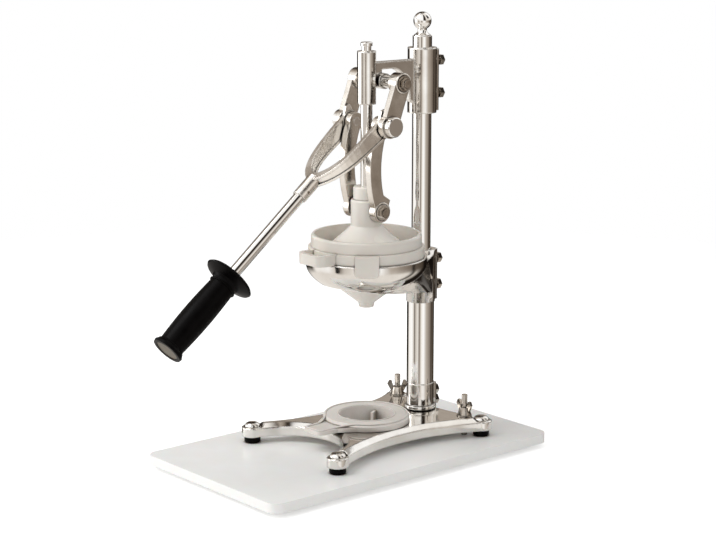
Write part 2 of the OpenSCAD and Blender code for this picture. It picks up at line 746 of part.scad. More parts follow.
module lever_yoke() place() color(CHROME) difference() {
    union() {
        translate([0, knee_y, knee_z]) rotate([yoke_angle, 0, 0]) {
            intersection() {
                yoke_arms(yoke_t / 2 - 1.2);
                yoke_side(0.4);
            }
            intersection() {
                yoke_arms(yoke_t / 2 - 0.3);
                difference() {
                    yoke_side(0);
                    yoke_side(yoke_rail);
                }
            }
        }
        both_sides() bar_x(yoke_knee_h / 2 + 0.6, yoke_x0, crank_x0, knee_y, knee_z);
        both_sides() plate_x(yoke_x0 + 0.8, crank_x0 - 0.8) translate([knee_y, knee_z])
            polygon([[-9, 4], [-6, 15], [-1, 17], [4, 9]]);
        along_handle() translate([0, 0, -4]) cylinder(r = handle_socket_r, h = handle_socket_len + 4);
    }
    along_handle() translate([0, 0, 4]) cylinder(r = handle_r, h = handle_socket_len);
    along_handle() translate([0, 0, lock_pin_at]) rotate([0, 90, 0])
        cylinder(r = lock_pin_r, h = 2 * handle_socket_r + 2, center = true);
    both_sides() bar_x(pin_r, yoke_x0 - 1, crank_x0 + 1, knee_y, knee_z);
}

lock_pin_r = 1.5;
lock_pin_at = 14;

// Upper link on the +X side, from the lever's pivot to the knee
module upper_link() color(CHROME) difference() {
    union() {
        plate_x(crank_x0, crank_x1) {
            translate([pivot_y, pivot_z]) circle(r = link_end_r);
            translate([knee_y, knee_z]) circle(r = link_end_r + 1.5);
            translate([pivot_y, pivot_z]) rotate(-crank_angle) translate([-crank_w / 2, -crank_r])
                square([crank_w, crank_r]);
        }
        bar_x(link_end_r, yoke_x0, crank_x0 + E, pivot_y, pivot_z);
    }
    bar_x(pin_r + pin_gap, yoke_x0 - E, crank_x1 + E, pivot_y, pivot_z);
    bar_x(pin_r, crank_x0 - E, crank_x1 + E, knee_y, knee_z);
}

module upper_link_right() place() upper_link();
module upper_link_left() place() mirror([1, 0, 0]) upper_link();

module knee_pins() place() color(CHROME) both_sides() {
    bar_x(pin_r, link_x0 - 0.2, crank_x1 + E, knee_y, knee_z);
    translate([crank_x1, knee_y, knee_z]) rotate([0, 90, 0]) {
        cylinder(r = knee_cap_r, h = knee_cap_t - 1);
        translate([0, 0, knee_cap_t - 1]) cylinder(r1 = knee_cap_r, r2 = knee_cap_r - 1, h = 1);
    }
}

module handle_tube() place() color(CHROME) along_handle() difference() {
    translate([0, 0, 4]) cylinder(r = handle_r, h = grip_end - 12);
    translate([0, 0, lock_pin_at]) rotate([0, 90, 0])
        cylinder(r = lock_pin_r, h = 4 * handle_r, center = true);
}

module handle_lock_pin() place() color(STEEL) along_handle() translate([0, 0, lock_pin_at])
    rotate([0, 90, 0]) cylinder(r = lock_pin_r, h = 2 * handle_socket_r - 0.4, center = true);

guard_t = 9;
grip_flange_t = 4;
plug_r = grip_r - 1;

// Outline of the grip: guard cone, swelling body, end flange
function grip_points() = concat(
    [[handle_r, 0], [guard_r - 1.5, 2], [guard_r, 3.5], [guard_r - 1, 5], [grip_r + 2.5, guard_t],
     [grip_r + 0.8, guard_t + 2]],
    [for (i = [0 : ROUND]) let (t = i / ROUND)
        [grip_r + grip_swell * sin(180 * t), guard_t + 4 + t * (grip_len - guard_t - grip_flange_t - 7)]],
    [[grip_end_r - 1, grip_len - grip_flange_t], [grip_end_r, grip_len - grip_flange_t + 1.5],
     [grip_end_r - 0.6, grip_len], [plug_r, grip_len], [plug_r, grip_len - 3],
     [handle_r, grip_len - 3]]);

module hand_grip() place() color(BLACK) along_handle() translate([0, 0, guard_at])
    rotate_extrude() polygon(grip_points());

module grip_end_plug() place() color("#6d655e") along_handle()
    translate([0, 0, grip_end - 3]) cylinder(r = plug_r, h = 2.4);

// ---------------------------------------------------------------- lower links

link_arc_r = arc_r(link_len / 2, link_bow);

// Lower link seen from the side: knee at the origin, foot straight below
module link_side() {
    intersection() {
        translate([link_arc_r - link_bow, -link_len / 2]) difference() {
            circle(r = link_arc_r + link_w / 2, $fn = 180);
            circle(r = link_arc_r - link_w / 2, $fn = 180);
        }
        translate([-link_len / 2, -link_len]) square([link_len, link_len]);
    }
    circle(r = link_w / 2 + 2);
    translate([0, -link_len]) circle(r = link_end_r);
    translate([0, -link_len]) polygon([[0, 0], [8, 4], [10.3, 11.5], [2, 17], [-4, 14]]);
}

module lower_link() color(CHROME) difference() {
    translate([0, knee_y, knee_z]) rotate([-link_tilt, 0, 0]) plate_x(link_x0, link_x1) link_side();
    bar_x(pin_r + pin_gap, link_x0 - E, link_x1 + E, knee_y, knee_z);
    bar_x(pin_r, link_x0 - E, link_x1 + E, 0, foot_z);
}

module lower_link_right() place() lower_link();
module lower_link_left() place() mirror([1, 0, 0]) lower_link();

module link_pins() place() color(STEEL) both_sides()
    bar_x(pin_r, link_x0, link_x1 + washer_t + nut_t + 1, 0, foot_z);

module link_washers() place() color(CHROME) both_sides()
    washer_x(washer_r, pin_r, link_x1, link_x1 + washer_t, 0, foot_z);

module link_nuts() place() color(STEEL) both_sides() nut_x(link_x1 + washer_t, 0, foot_z);

// ---------------------------------------------------------------- ram and presser

module ram_rod() place() color(CHROME) difference() {
    translate([0, 0, ram_z0]) cylinder(r = ram_r, h = ram_z1 - ram_z0);
    bar_x(pin_r, -2 * ram_r, 2 * ram_r, 0, foot_z);
    translate([0, 0, ram_z1 - 14]) cylinder(r = 2.5, h = 14 + E);
}

module ram_top_screw() place() color(CHROME) translate([0, 0, ram_z1]) {
    translate([0, 0, -14]) cylinder(r = 2.5, h = 14 + E);
    cylinder(r = ram_r - 1.2, h = 5);
    translate([0, 0, 5]) cylinder(r = ram_r, h = 3.2);
    translate([0, 0, 8.2]) cylinder(r1 = ram_r, r2 = ram_r - 1, h = 0.8);
}

// Outline of the presser's cone, from the hub down to its edge
function presser_points(in) = [for (i = [0 : ROUND]) let (t = i / ROUND)
    [hub_r - in + (presser_r - hub_r) * pow(t, 1.15), cone_z - in * 0.7 - presser_h * t * (0.9 + 0.1 * t)]];

module presser_cone() place() color(WHITE) difference() {
    union() {
        rotate_extrude() polygon(concat([[0, collar_z1], [collar_r - 1, collar_z1],
            [collar_r, collar_z1 - 1], [collar_r, hub_z1], [hub_r - 1, hub_z1],
            [hub_r, hub_z1 - 1.5]], presser_points(0), [[0, presser_z0]]));
    }
    rotate_extrude() polygon(concat([[0, ram_z0 - 3]], presser_points(presser_wall),
        [[presser_r - presser_wall, presser_z0 - 5], [0, presser_z0 - 5]]));
    translate([0, 0, ram_z0]) cylinder(r = ram_r, h = collar_z1);
    bar_x(pin_r, -2 * hub_r, 2 * hub_r, 0, foot_z);
}

module presser_cross_pin() place() color(STEEL)
    bar_x(pin_r, -hub_r - 0.2, hub_r + 0.2, 0, foot_z);

// ---------------------------------------------------------------- jug seat

seat_z0 = cast_z1 + RUN;
seat_z1 = cast_z1 + seat_h;
fin_len = 10;
fin_t = 3;
fin_drop = 4.5;
tongue_out = front_arch_y + 24;
tongue_h = 4;
tongue_corner = 5;

// Tongue at the seat's front, flared into the ring
module tongue_outline() {
    c = tongue_corner;
    flare_y = -sqrt(pow(seat_r, 2) - pow(2 * tongue_w, 2));
    for (s = [-1, 1]) translate([s * (tongue_w - c), c - tongue_out]) circle(r = c);
    polygon([[c - tongue_w, -tongue_out], [tongue_w - c, -tongue_out],
        [tongue_w, c - tongue_out], [tongue_w + 2, -seat_r - 7], [2 * tongue_w, flare_y],
        [-2 * tongue_w, flare_y], [-tongue_w - 2, -seat_r - 7], [-tongue_w, c - tongue_out]]);
}

module jug_seat() place() color(IVORY) difference() {
    union() {
        translate([0, 0, seat_z0]) rotate_extrude() polygon([[0, 0], [seat_r, 0],
            [seat_r, seat_h - RUN - 2.5], [seat_r - 2.5, seat_h - RUN], [0, seat_h - RUN]]);
        translate([0, 0, cast_z0 + 2]) cylinder(r = seat_spigot_r, h = seat_z1 - cast_z0 - 3);
        translate([0, 0, seat_z0]) linear_extrude(tongue_h) tongue_outline();
    }
    difference() {
        translate([0, 0, cast_z0]) cylinder(r = seat_bore_r, h = casting_h + seat_h + 1);
        for (a = [0, 120, 240]) rotate([0, 0, a])
            translate([seat_bore_r - fin_len, -fin_t / 2, cast_z0])
            cube([fin_len + 2, fin_t, seat_z1 - fin_drop - cast_z0]);
    }
}

// ---------------------------------------------------------------- wing nuts

nut_z0 = cast_z1 + washer_t + RUN;
wing_hub_h = 8;

module wing_nut(turn) color(STEEL) translate([0, 0, nut_z0]) rotate([0, 0, turn]) difference() {
    union() {
        cylinder(r1 = bolt_r + 4, r2 = bolt_r + 2.5, h = wing_hub_h);
        translate([0, 1.4, 0]) rotate([90, 0, 0]) linear_extrude(2.8) both_wings();
    }
    translate([0, 0, -E]) cylinder(r = bolt_r + pin_gap, h = 30);
    translate([0, 0, wing_hub_h]) cylinder(r = bolt_r + 1, h = 30);
}

module both_wings()
    for (s = [-1, 1]) mirror([s < 0 ? 1 : 0, 0]) {
        polygon([[2, 1], [6, 1.5], [wing_span, 11], [wing_span - 2, 15], [wing_span - 4.5, 15],
            [4, 7]]);
    }

module wing_nut_right() place() translate([stud_x, stud_yy, 0]) wing_nut(0);
module wing_nut_left() place() translate([-stud_x, stud_yy, 0]) wing_nut(55);

baseboard();
board_feet();
board_foot_screws();
base_casting();
base_feet();
leg_cap_screws();
base_set_bolts();
hold_down_studs();
stud_washers();
column_post();
column_spacer();
ball_finial();
top_bracket();
top_bracket_bolts();
guide_bush();
pivot_axle();
pivot_spacers();
pivot_washers();
pivot_nuts();
bowl_bracket();
bowl_bracket_bolts();
juice_cup();
strainer();
lever_yoke();
upper_link_left();
upper_link_right();
knee_pins();
handle_tube();
handle_lock_pin();
hand_grip();
grip_end_plug();
lower_link_left();
lower_link_right();
link_pins();
link_washers();
link_nuts();
ram_rod();
ram_top_screw();
presser_cone();
presser_cross_pin();
jug_seat();
wing_nut_left();
wing_nut_right();
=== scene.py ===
"""Dresses the lever citrus press: finishes for its castings, tubes and mouldings,
the fine parts that its solids leave out, and a pale studio round it."""

import math

import bmesh
import bpy
import numpy as np
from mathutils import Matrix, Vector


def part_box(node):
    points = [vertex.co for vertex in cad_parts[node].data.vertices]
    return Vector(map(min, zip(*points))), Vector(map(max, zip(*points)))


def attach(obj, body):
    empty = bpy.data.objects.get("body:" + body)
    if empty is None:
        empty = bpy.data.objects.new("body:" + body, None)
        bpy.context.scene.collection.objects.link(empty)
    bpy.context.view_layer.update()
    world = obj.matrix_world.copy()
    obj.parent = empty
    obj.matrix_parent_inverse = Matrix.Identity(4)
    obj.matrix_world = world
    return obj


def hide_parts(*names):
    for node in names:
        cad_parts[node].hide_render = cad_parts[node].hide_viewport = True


bl_info = {
    "name": "Lever Citrus Press",
    "version": (1, 0, 0),
    "blender": (4, 5, 0),
    "location": "View3D > Sidebar > Press",
    "description": "Finishes and fine parts for an upright lever citrus press",
    "category": "Add Mesh",
}

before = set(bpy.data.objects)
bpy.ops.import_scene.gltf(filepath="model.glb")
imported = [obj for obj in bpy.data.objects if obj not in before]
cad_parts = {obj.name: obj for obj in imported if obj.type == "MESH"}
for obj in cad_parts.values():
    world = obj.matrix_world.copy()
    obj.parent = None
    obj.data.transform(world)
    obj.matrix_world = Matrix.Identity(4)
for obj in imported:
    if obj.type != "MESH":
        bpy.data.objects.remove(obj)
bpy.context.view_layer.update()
MM = 0.001

# Which finish each solid of the press takes
POLISHED = ("base_casting", "top_bracket", "bowl_bracket", "leg_cap_screws")
SATIN = ("upper_link_left", "upper_link_right", "lower_link_left", "lower_link_right")
TUBES = ("column_post", "column_spacer", "ball_finial", "handle_tube", "ram_rod",
         "ram_top_screw", "pivot_spacers", "knee_pins", "link_washers")
FASTENERS = ("board_foot_screws", "base_set_bolts", "hold_down_studs", "stud_washers",
             "top_bracket_bolts", "bowl_bracket_bolts", "pivot_axle", "pivot_washers",
             "pivot_nuts", "handle_lock_pin", "link_pins", "link_nuts", "presser_cross_pin",
             "wing_nut_left", "wing_nut_right")
INSERTS = ("strainer", "jug_seat")
RUBBER = ("board_feet", "base_feet", "hand_grip")


# ------------------------------------------------------------------ small helpers

# Points closer than the first are welded, faces thinner than the second are dissolved, and
# edges that turn by more than the third stay sharp
WELD_GAP = 0.001 * MM
SLIVER = 0.0001 * MM
SHARP_ANGLE = math.radians(35)


def middle(node):
    """The centre of a solid's box."""
    low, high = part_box(node)
    return (low + high) / 2


def linear(hex_colour):
    """A "#rrggbb" sRGB colour as linear RGBA."""
    channels = (int(hex_colour[i:i + 2], 16) / 255 for i in (1, 3, 5))
    return tuple(c / 12.92 if c <= 0.04045 else ((c + 0.055) / 1.055) ** 2.4
                 for c in channels) + (1.0,)


def put(tree, kind, sockets=None, stops=(), **settings):
    """Adds a node. Settings are its own, stops are a colour ramp's places and colours,
    and each socket takes a value, an output, or a node for its first output."""
    node = tree.nodes.new(kind)
    for name, value in settings.items():
        setattr(node, name, value)
    if stops:
        elements = node.color_ramp.elements
        while len(elements) < len(stops):
            elements.new(0.5)
        for element, (place, colour) in zip(elements, stops):
            element.position = place
            element.color = linear(colour)
    for name, value in (sockets or {}).items():
        if isinstance(value, bpy.types.Node):
            value = next(output for output in value.outputs if output.enabled)
        if isinstance(value, bpy.types.NodeSocket):
            tree.links.new(value, node.inputs[name])
        else:
            node.inputs[name].default_value = value
    return node


def new_material(name):
    """An empty material. Returns it and its node tree."""
    material = bpy.data.materials.new(name)
    material.use_nodes = True
    material.node_tree.nodes.clear()
    return material, material.node_tree


def finish_with(nodes, material):
    """Gives the named solids one material."""
    for name in nodes:
        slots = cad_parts[name].data.materials
        slots.clear()
        slots.append(material)


def adopt(name, mesh, material, body):
    """Welds a mesh, turns its faces outwards, smooths it but for its real edges, and
    puts it on a body."""
    work = bmesh.new()
    work.from_mesh(mesh)
    bmesh.ops.remove_doubles(work, verts=work.verts, dist=WELD_GAP)
    bmesh.ops.dissolve_degenerate(work, edges=work.edges, dist=SLIVER)
    bmesh.ops.recalc_face_normals(work, faces=work.faces)
    work.to_mesh(mesh)
    work.free()
    mesh.materials.append(material)
    mesh.shade_smooth()
    mesh.set_sharp_from_angle(angle=SHARP_ANGLE)
    piece = bpy.data.objects.new(name, mesh)
    bpy.context.scene.collection.objects.link(piece)
    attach(piece, body)
    return piece


def ring_surface(name, rows, material, body):
    """A piece from a grid of points, rows by columns by xyz. Each row is a closed ring,
    and every face joins two neighbours of a row to the same two of the next."""
    count, around = rows.shape[:2]
    row, column = np.meshgrid(np.arange(count - 1), np.arange(around), indexing="ij")
    beside = (column + 1) % around
    faces = np.stack([row * around + column, row * around + beside,
                      (row + 1) * around + beside, (row + 1) * around + column], -1)
    mesh = bpy.data.meshes.new(name)
    mesh.from_pydata(rows.reshape(-1, 3).tolist(), [], faces.reshape(-1, 4).tolist())
    adopt(name, mesh, material, body)


# ------------------------------------------------------------------ sizes and colours

class PressSizes(bpy.types.PropertyGroup):
    """How thick the press's fine parts are."""
    seat_rim: bpy.props.FloatProperty(
        name="Seat rim", description="Radius of the bead along the jug seat's edge",
        unit="LENGTH", default=1.1 * MM, min=0.2 * MM, max=2 * MM)
    hole_rim: bpy.props.FloatProperty(
        name="Hole rim", description="Radius of the bead round the jug seat's hole",
        unit="LENGTH", default=0.8 * MM, min=0.2 * MM, max=1.5 * MM)
    boss_rim: bpy.props.FloatProperty(
        name="Boss rims", description="Radius of the beads round the linkage's nuts",
        unit="LENGTH", default=0.95 * MM, min=0.2 * MM, max=1.5 * MM)
    grip_bead: bpy.props.FloatProperty(
        name="Grip beads", description="Radius of the beads at the ends of the grip",
        unit="LENGTH", default=0.9 * MM, min=0.2 * MM, max=2 * MM)


class PressColours(bpy.types.PropertyGroup):
    """Colours of the press's finishes, as sRGB hex values."""
    polished: bpy.props.StringProperty(
        name="Polished castings", description="Buffed cast aluminium", default="#e4e2de")
    satin: bpy.props.StringProperty(
        name="Satin castings", description="Lightly buffed links", default="#e4dfd8")
    blasted: bpy.props.StringProperty(
        name="Yoke", description="Blasted and lightly buffed yoke", default="#f7f4ef")
    tube: bpy.props.StringProperty(
        name="Tubes", description="Chrome plate on steel tube", default="#e6e4e1")
    fastener: bpy.props.StringProperty(
        name="Fasteners", description="Bright zinc on steel", default="#cac3ba")
    cup: bpy.props.StringProperty(
        name="Cup", description="White moulded plastic", default="#e8e2d9")
    presser: bpy.props.StringProperty(
        name="Presser", description="White moulded plastic", default="#f6f1e9")
    insert: bpy.props.StringProperty(
        name="Jug seat and strainer", description="Off-white moulded plastic",
        default="#ece7e1")
    board: bpy.props.StringProperty(
        name="Board", description="White coated board", default="#fdfdfb")
    rubber: bpy.props.StringProperty(
        name="Grip and feet", description="Black moulded rubber", default="#050404")
    plug: bpy.props.StringProperty(
        name="Grip plug", description="Grey-brown plastic", default="#6b6456")
    bronze: bpy.props.StringProperty(
        name="Guide bush", description="Sintered bronze", default="#a98652")


class StudioSettings(bpy.types.PropertyGroup):
    """Where the camera stands, and how bright the studio is."""
    camera_place: bpy.props.FloatVectorProperty(
        name="Camera place", description="Place of the camera", size=3, subtype="XYZ",
        unit="LENGTH", default=(1.4971, -1.2334, 0.6182))
    camera_turn: bpy.props.FloatProperty(
        name="Camera turn", description="Turn about the vertical", subtype="ANGLE",
        unit="ROTATION", default=math.radians(49.677))
    camera_tilt: bpy.props.FloatProperty(
        name="Camera tilt", description="Tilt below the horizontal", subtype="ANGLE",
        unit="ROTATION", default=math.radians(12.125))
    focal_length: bpy.props.FloatProperty(
        name="Focal length", description="Focal length on a 36 mm wide sensor",
        unit="CAMERA", default=99.15, min=20, max=300)
    world_light: bpy.props.FloatProperty(
        name="World light", description="Strength of the even light", default=0.64,
        min=0, max=3)
    key_power: bpy.props.FloatProperty(
        name="Key light", description="Power of the large soft lamp", unit="POWER",
        default=18, min=0, max=200)


# ------------------------------------------------------------------ finishes

# Colours of the painted shade where faces meet closely: one for metal, and one for plastic
PAINTED_SHADE_ON_METAL = "#2a221c"
PAINTED_SHADE_ON_PLASTIC = "#8f867c"


def with_painted_corner_shade(tree, tint, reach_mm, painted_shade_colour):
    """A colour with painted shade: it turns to the shade's colour where faces meet closely.
    The share of the surroundings that a point sees within the reach says how little shade it
    gets."""
    # Ambient occlusion sets how much painted shade each point gets
    sees = put(tree, "ShaderNodeAmbientOcclusion", {"Distance": reach_mm * MM},
               samples=8).outputs["AO"]
    unshaded = put(tree, "ShaderNodeMapRange",
                {"Value": sees, "From Min": 0.45, "From Max": 0.85})
    return put(tree, "ShaderNodeMix", {"Factor": unshaded, "A": linear(painted_shade_colour), "B": tint},
               data_type="RGBA")


def cast_aluminium(name, colour, shade, gloss, wave, edge_mm):
    """Cast aluminium, buffed on a wheel, or blasted and then lightly buffed. The eye sees
    a mirror that is duller in patches, with faint waves, rounded edges and painted shade in
    its corners. The gloss is the roughness at its least and at its most."""
    material, tree = new_material(name)
    place = put(tree, "ShaderNodeTexCoord").outputs["Object"]
    patches = put(tree, "ShaderNodeTexNoise",
                  {"Vector": place, "Scale": 1 / (18 * MM), "Detail": 3.0})
    waves = put(tree, "ShaderNodeTexNoise",
                {"Vector": place, "Scale": 1 / (16 * MM), "Detail": 1.0})
    # The wheel's scratches are about 0.1 mm wide, and are drawn at 0.9 mm so they show
    scratches = put(tree, "ShaderNodeTexNoise",
                    {"Vector": place, "Scale": 1 / (0.9 * MM)})
    tint = put(tree, "ShaderNodeValToRGB", {"Fac": patches},
               stops=((0.3, shade), (0.7, colour)))
    roughness = put(tree, "ShaderNodeMapRange",
                    {"Value": patches, "From Min": 0.35, "From Max": 0.7,
                     "To Min": gloss[0], "To Max": gloss[1]})
    rounded = put(tree, "ShaderNodeBevel", {"Radius": edge_mm * MM}, samples=6)
    wavy = put(tree, "ShaderNodeBump",
               {"Strength": wave, "Distance": 1.2 * MM, "Height": waves,
                "Normal": rounded})
    scratched = put(tree, "ShaderNodeBump",
                    {"Strength": 0.04, "Distance": 0.2 * MM, "Height": scratches,
                     "Normal": wavy})
    metal = put(tree, "ShaderNodeBsdfPrincipled",
                {"Base Color": with_painted_corner_shade(tree, tint, 4.0, PAINTED_SHADE_ON_METAL), "Metallic": 1.0,
                 "Roughness": roughness, "Normal": scratched})
    put(tree, "ShaderNodeOutputMaterial", {"Surface": metal})
    return material


def chrome_plate(colour):
    """Bright chrome on drawn steel tube. The eye sees a clean mirror with the faintest
    cloud."""
    material, tree = new_material("bright chrome plate")
    place = put(tree, "ShaderNodeTexCoord").outputs["Object"]
    cloud = put(tree, "ShaderNodeTexNoise", {"Vector": place, "Scale": 1 / (25 * MM)})
    roughness = put(tree, "ShaderNodeMapRange",
                    {"Value": cloud, "From Min": 0.35, "From Max": 0.65,
                     "To Min": 0.03, "To Max": 0.07})
    rounded = put(tree, "ShaderNodeBevel", {"Radius": 0.5 * MM}, samples=6)
    metal = put(tree, "ShaderNodeBsdfPrincipled",
                {"Base Color": linear(colour), "Metallic": 1.0, "Roughness": roughness,
                 "Normal": rounded})
    put(tree, "ShaderNodeOutputMaterial", {"Surface": metal})
    return material


def bright_zinc(colour):
    """Zinc plate on turned steel. The eye sees a metal greyer than chrome, with fine
    tool marks and painted shade in its corners."""
    material, tree = new_material("bright zinc plate")
    place = put(tree, "ShaderNodeTexCoord").outputs["Object"]
    # Tool marks are about 0.1 mm apart, and are drawn at 0.8 mm so that they show
    marks = put(tree, "ShaderNodeTexNoise",
                {"Vector": place, "Scale": 1 / (0.8 * MM), "Detail": 3.0})
    cloud = put(tree, "ShaderNodeTexNoise", {"Vector": place, "Scale": 1 / (6 * MM)})
    tint = put(tree, "ShaderNodeValToRGB", {"Fac": cloud},
               stops=((0.3, "#a79f95"), (0.7, colour)))
    roughness = put(tree, "ShaderNodeMapRange",
                    {"Value": marks, "To Min": 0.08, "To Max": 0.16})
    rounded = put(tree, "ShaderNodeBevel", {"Radius": 0.25 * MM}, samples=6)
    marked = put(tree, "ShaderNodeBump",
                 {"Strength": 0.08, "Distance": 0.1 * MM, "Height": marks,
                  "Normal": rounded})
    metal = put(tree, "ShaderNodeBsdfPrincipled",
                {"Base Color": with_painted_corner_shade(tree, tint, 2.5, PAINTED_SHADE_ON_METAL), "Metallic": 1.0,
                 "Roughness": roughness, "Normal": marked})
    put(tree, "ShaderNodeOutputMaterial", {"Surface": metal})
    return material


def moulded_plastic(name, colour, shade, gloss, edge_mm=0.7, reach_mm=3.0):
    """Injection-moulded polypropylene, and alike a coated board. The eye sees a soft
    sheen, very fine mould grain, a slightly deeper tone in patches, and painted shade in
    corners. The gloss is the roughness at its least."""
    material, tree = new_material(name)
    place = put(tree, "ShaderNodeTexCoord").outputs["Object"]
    cloud = put(tree, "ShaderNodeTexNoise", {"Vector": place, "Scale": 1 / (30 * MM)})
    # Mould grain is about 0.1 mm across, and is drawn at 0.6 mm so that it shows
    grain = put(tree, "ShaderNodeTexNoise", {"Vector": place, "Scale": 1 / (0.6 * MM)})
    tint = put(tree, "ShaderNodeValToRGB", {"Fac": cloud},
               stops=((0.3, shade), (0.7, colour)))
    roughness = put(tree, "ShaderNodeMapRange",
                    {"Value": cloud, "To Min": gloss, "To Max": gloss + 0.08})
    rounded = put(tree, "ShaderNodeBevel", {"Radius": edge_mm * MM}, samples=6)
    grained = put(tree, "ShaderNodeBump",
                  {"Strength": 0.06, "Distance": 0.1 * MM, "Height": grain,
                   "Normal": rounded})
    plastic = put(tree, "ShaderNodeBsdfPrincipled",
                  {"Base Color": with_painted_corner_shade(tree, tint, reach_mm, PAINTED_SHADE_ON_PLASTIC),
                   "Roughness": roughness, "IOR": 1.49, "Subsurface Weight": 0.12,
                   "Subsurface Scale": 2 * MM, "Normal": grained})
    put(tree, "ShaderNodeOutputMaterial", {"Surface": plastic})
    return material


def moulded_rubber(colour):
    """Moulded black rubber. The eye sees a satin skin, a little greyer where it is
    handled."""
    material, tree = new_material("moulded black rubber")
    place = put(tree, "ShaderNodeTexCoord").outputs["Object"]
    # The skin's pores are about 0.1 mm across, and are drawn at 0.7 mm so that they show
    pores = put(tree, "ShaderNodeTexNoise",
                {"Vector": place, "Scale": 1 / (0.7 * MM), "Detail": 3.0})
    wear = put(tree, "ShaderNodeTexNoise",
               {"Vector": place, "Scale": 1 / (12 * MM), "Detail": 3.0})
    tint = put(tree, "ShaderNodeValToRGB", {"Fac": wear},
               stops=((0.35, colour), (0.75, "#0a0808")))
    roughness = put(tree, "ShaderNodeMapRange",
                    {"Value": wear, "From Min": 0.3, "From Max": 0.7,
                     "To Min": 0.3, "To Max": 0.42})
    rounded = put(tree, "ShaderNodeBevel", {"Radius": 0.8 * MM}, samples=6)
    pitted = put(tree, "ShaderNodeBump",
                 {"Strength": 0.12, "Distance": 0.2 * MM, "Height": pores,
                  "Normal": rounded})
    rubber = put(tree, "ShaderNodeBsdfPrincipled",
                 {"Base Color": tint, "Roughness": roughness, "Specular IOR Level": 0.07,
                  "IOR": 1.4, "Normal": pitted})
    put(tree, "ShaderNodeOutputMaterial", {"Surface": rubber})
    return material


def sintered_bronze(colour):
    """Sintered bronze. The eye sees a dull gold with open pores."""
    material, tree = new_material("sintered bronze")
    place = put(tree, "ShaderNodeTexCoord").outputs["Object"]
    # The pores are under 0.1 mm across, and are drawn at 0.5 mm so that they show
    pores = put(tree, "ShaderNodeTexNoise", {"Vector": place, "Scale": 1 / (0.5 * MM)})
    tint = put(tree, "ShaderNodeValToRGB", {"Fac": pores},
               stops=((0.3, "#7d6138"), (0.6, colour)))
    roughness = put(tree, "ShaderNodeMapRange",
                    {"Value": pores, "To Min": 0.3, "To Max": 0.5})
    metal = put(tree, "ShaderNodeBsdfPrincipled",
                {"Base Color": tint, "Metallic": 1.0, "Roughness": roughness})
    put(tree, "ShaderNodeOutputMaterial", {"Surface": metal})
    return material


class PRESS_OT_finishes(bpy.types.Operator):
    """Gives every solid of the press its finish"""
    bl_idname = "press.finishes"
    bl_label = "Finishes"

    def execute(self, context):
        colours = context.scene.press_colours
        finish_with(POLISHED, cast_aluminium(
            "polished cast aluminium", colours.polished, "#d8d4cf", gloss=(0.05, 0.11),
            wave=0.1, edge_mm=2.4))
        finish_with(SATIN, cast_aluminium(
            "satin cast aluminium", colours.satin, "#d2ccc4", gloss=(0.14, 0.24),
            wave=0.14, edge_mm=1.0))
        finish_with(("lever_yoke",), cast_aluminium(
            "blasted cast aluminium", colours.blasted, "#e4dfd8", gloss=(0.22, 0.32),
            wave=0.3, edge_mm=0.9))
        finish_with(TUBES, chrome_plate(colours.tube))
        finish_with(FASTENERS, bright_zinc(colours.fastener))
        finish_with(("juice_cup",), moulded_plastic(
            "moulded cup polypropylene", colours.cup, "#e1dbd2", gloss=0.22))
        finish_with(("presser_cone",), moulded_plastic(
            "moulded presser polypropylene", colours.presser, "#f0eae2", gloss=0.22))
        # The long reach also paints shade down inside the jug seat
        finish_with(INSERTS, moulded_plastic(
            "moulded off-white polypropylene", colours.insert, "#e2dcd5", gloss=0.3,
            edge_mm=0.5, reach_mm=22.0))
        finish_with(("baseboard",), moulded_plastic(
            "white coated board", colours.board, "#f9f8f5", gloss=0.3))
        finish_with(RUBBER, moulded_rubber(colours.rubber))
        finish_with(("grip_end_plug",), moulded_plastic(
            "moulded grey-brown polypropylene", colours.plug, "#5b5448", gloss=0.45))
        finish_with(("guide_bush",), sintered_bronze(colours.bronze))
        return {"FINISHED"}


# ------------------------------------------------------------------ fine parts

# Points round a bead, and along a ring that it follows
BEAD_SIDES = 10
RING_STEPS = 96

# The jug seat as its solid has it: half the tongue's width, how far its top lies below the
# ring's, and half the angle that its root takes from the ring, which is the one whose
# sine is the root's half width over the ring's radius
TONGUE_HALF = 14 * MM
TONGUE_DROP = 3.7 * MM
TONGUE_OPENING = math.asin(28 / 45)

# The rims on the seat: how far the edge's is set in, how far past the ring its curves end,
# how far their handles reach at the ring and at the tongue, the radius of its corners, the
# points of each stretch, and the radius of the rim round the hole
RIM_INSET = 2.4 * MM
CURVE_REACH = 14 * MM
RING_HANDLE, TONGUE_HANDLE = 9 * MM, 12 * MM
CORNER_R = 3 * MM
RING_POINTS, CURVE_POINTS, CORNER_POINTS = 80, 16, 7
HOLE_RIM_R = 29.6 * MM

# The linkage's bosses: the washers' thickness, and the radius of the rims round them
WASHER_THICK = 1.2 * MM
BOSS_RIM_R = 9.3 * MM

# The studs' threads, drawn as rings round the plain solids over the length that shows
THREAD_PITCH = 1.0 * MM
THREAD_ROOT_R, THREAD_CREST_R = 2.95 * MM, 3.2 * MM
THREAD_LENGTH = 9 * MM
THREAD_START = 0.4 * MM
THREAD_SIDES = 32
ROWS_PER_PITCH = 4

# The beads on the hand grip: the radius of their rings, and their places from the guard
GRIP_RING_R = 13.6 * MM
GUARD_BEAD, END_BEAD = 11 * MM, 90 * MM


class PRESS_OT_bowl_casting(bpy.types.Operator):
    """Puts a welded, smooth copy of the bowl bracket in its solid's place"""
    bl_idname = "press.bowl_casting"
    bl_label = "Bowl casting"

    def execute(self, context):
        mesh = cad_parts["bowl_bracket"].data.copy()
        material = mesh.materials[0]
        mesh.materials.clear()
        casting = adopt("bowl_bracket_casting", mesh, material, "stand")
        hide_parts("bowl_bracket")
        return {"FINISHED"}


